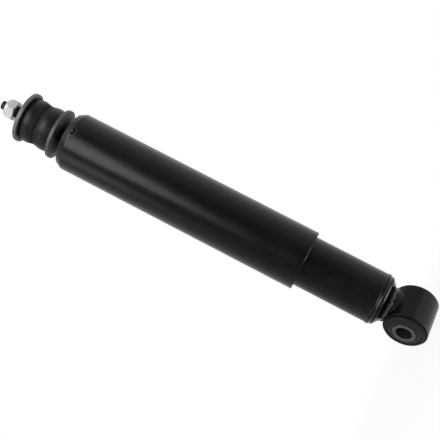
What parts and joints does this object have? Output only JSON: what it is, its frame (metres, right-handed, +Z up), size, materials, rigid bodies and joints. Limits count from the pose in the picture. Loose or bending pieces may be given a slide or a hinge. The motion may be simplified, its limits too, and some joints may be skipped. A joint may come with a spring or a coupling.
{
  "type": "shock absorber",
  "caption": "Twin-tube hydraulic shock absorber with a threaded stud mount in rubber bushes and cup washers at one end and a welded eye with a rubber bush at the other.",
  "frame": {"origin": "centre of the lower eye's bore", "axes": "+Z up the damper's axis from the eye to the stud, +Y along the eye's bore"},
  "size_m": [0.0764, 0.0764, 0.6015],
  "materials": {
    "black_paint": "semi-gloss black paint",
    "zinc": "bright zinc plate",
    "dull_plate": "dull grey plate",
    "rubber": "moulded black rubber",
    "bare_steel": "bare turned steel",
    "spring_steel": "blued spring steel",
    "chrome": "hard chrome on the rod, blackened on the stud",
    "sintered_iron": "sintered iron",
    "bronze": "lined bronze",
    "plastic": "plain moulded plastic"
  },
  "bodies": {
    "eye_sleeve": {"eye_sleeve": "bare_steel"},
    "reservoir": {"eye_bush": "rubber", "eye_ring": "black_paint", "base_cap": "black_paint", "reservoir_tube": "black_paint", "cylinder_tube": "bare_steel", "foot_valve_body": "sintered_iron", "foot_check_spring": "spring_steel", "compression_discs": "spring_steel", "foot_valve_bolt": "bare_steel", "foot_valve_nut": "bare_steel", "rod_guide": "sintered_iron", "guide_bush": "bronze", "rod_seal": "rubber", "seal_retainer": "bare_steel"},
    "foot_check_plate": {"foot_check_plate": "spring_steel"},
    "piston_band": {"piston_band": "plastic"},
    "rod": {"piston_rod": "chrome", "piston": "sintered_iron", "piston_check_spring": "spring_steel", "rebound_stop_plate": "bare_steel", "rebound_bumper": "rubber", "rebound_discs": "spring_steel", "rebound_spring_seat": "spring_steel", "rebound_spring": "spring_steel", "piston_nut": "bare_steel", "dust_tube": "black_paint", "dust_tube_cap": "black_paint", "lower_cup_washer": "dull_plate", "lower_bush": "rubber", "upper_bush": "rubber", "upper_cup_washer": "dull_plate"},
    "piston_check_plate": {"piston_check_plate": "spring_steel"},
    "stud_nut": {"stud_nut": "zinc", "nut_lock_ring": "plastic"}
  },
  "joints": [
    {"name": "eye_swing", "type": "hinge", "parent": "eye_sleeve", "child": "reservoir", "pos_m": [0, 0, 0], "axis": [0, 1, 0], "range_deg": [-12, 12], "stiffness_Nm_per_rad": 150},
    {"name": "rod_stroke", "type": "slide", "parent": "reservoir", "child": "piston_band", "axis": [0, 0, 1], "range_m": [-0.1, 0.112]},
    {"name": "rod_turn", "type": "hinge", "parent": "piston_band", "child": "rod", "pos_m": [0, 0, 0.2], "axis": [0, 0, 1], "continuous": true},
    {"name": "foot_check", "type": "slide", "parent": "reservoir", "child": "foot_check_plate", "axis": [0, 0, 1], "range_m": [0, 0.0015], "stiffness_N_per_m": 800, "springref_m": -0.003, "deforming": ["foot_check_spring"]},
    {"name": "piston_check", "type": "slide", "parent": "rod", "child": "piston_check_plate", "axis": [0, 0, 1], "range_m": [0, 0.001], "stiffness_N_per_m": 1000, "springref_m": -0.003, "deforming": ["piston_check_spring"]},
    {"name": "nut_run", "type": "slide", "parent": "rod", "child": "stud_nut", "axis": [0, 0, 1], "range_m": [-0.0137, 0.0209]}
  ]
}
